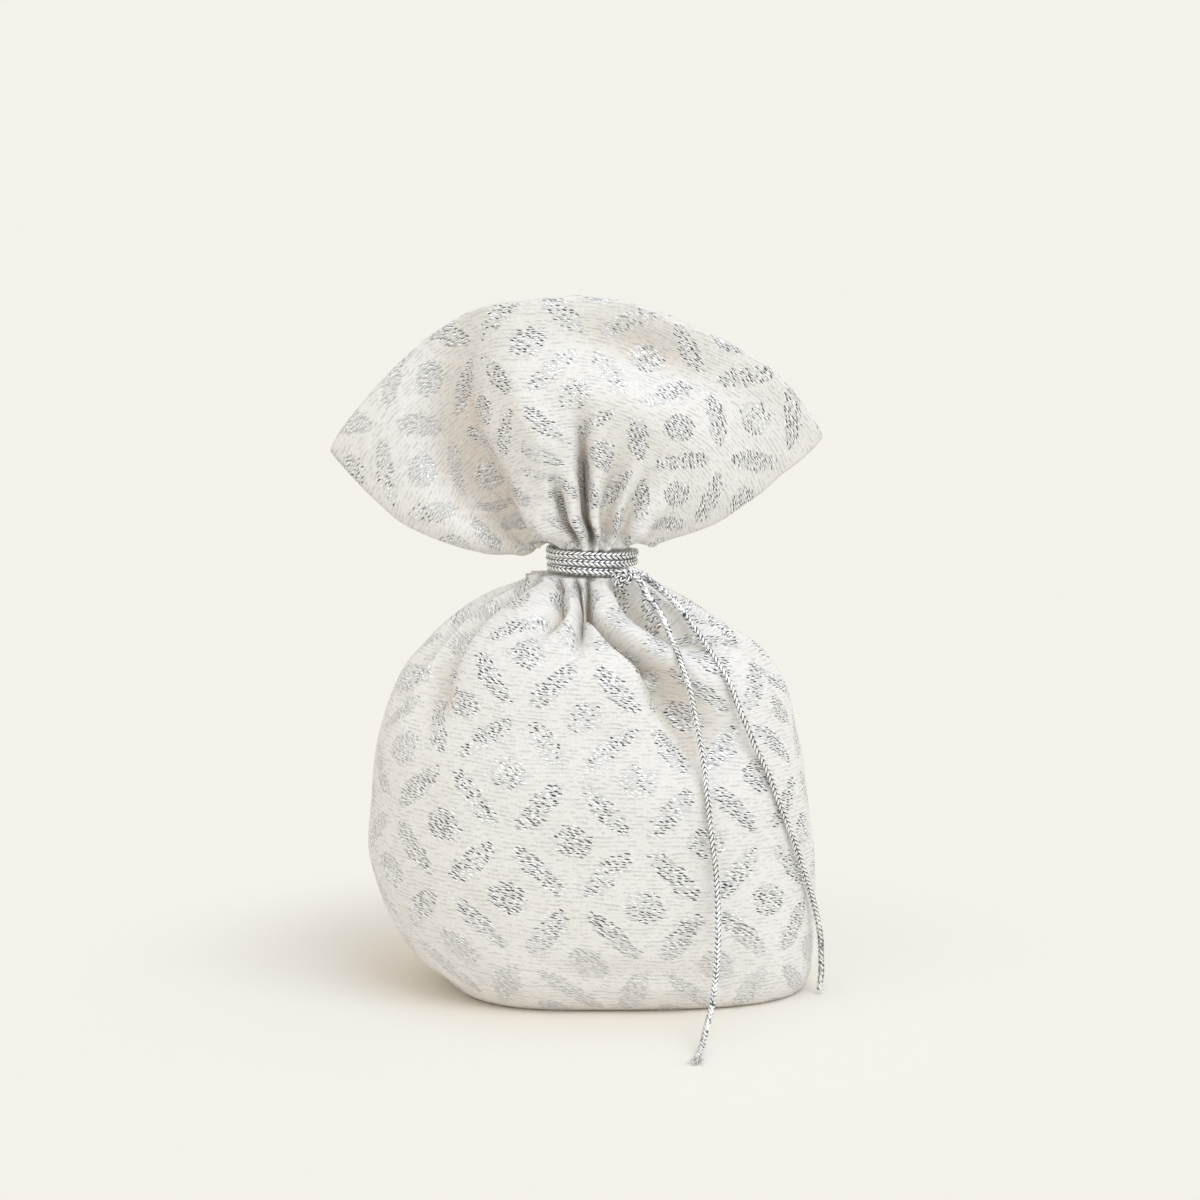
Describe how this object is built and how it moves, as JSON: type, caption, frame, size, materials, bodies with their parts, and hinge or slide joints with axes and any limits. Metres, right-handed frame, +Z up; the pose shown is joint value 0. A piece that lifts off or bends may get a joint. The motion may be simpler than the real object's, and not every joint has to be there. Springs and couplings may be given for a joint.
{
  "type": "drawstring pouch",
  "caption": "Small filled cloth pouch, gathered and tied at the neck with a wound cord, its top open like a fan and its cord ends hanging free.",
  "frame": {"origin": "on the flat base, straight under the middle of the gathered neck", "axes": "+Z up through the neck, +X to the right seen from the front, -Y towards the front, where the knot is"},
  "size_m": [0.062, 0.0546, 0.0868],
  "materials": {
    "brocade": "ribbed white brocade with a silver thread pattern",
    "silver_cord": "braided silver metallic thread"
  },
  "bodies": {
    "root": {"cloth_bag": "brocade", "cord_neck_wrap": "silver_cord", "cord_knot": "silver_cord", "cord_tail_front": "silver_cord", "cord_tail_side": "silver_cord"}
  },
  "joints": []
}
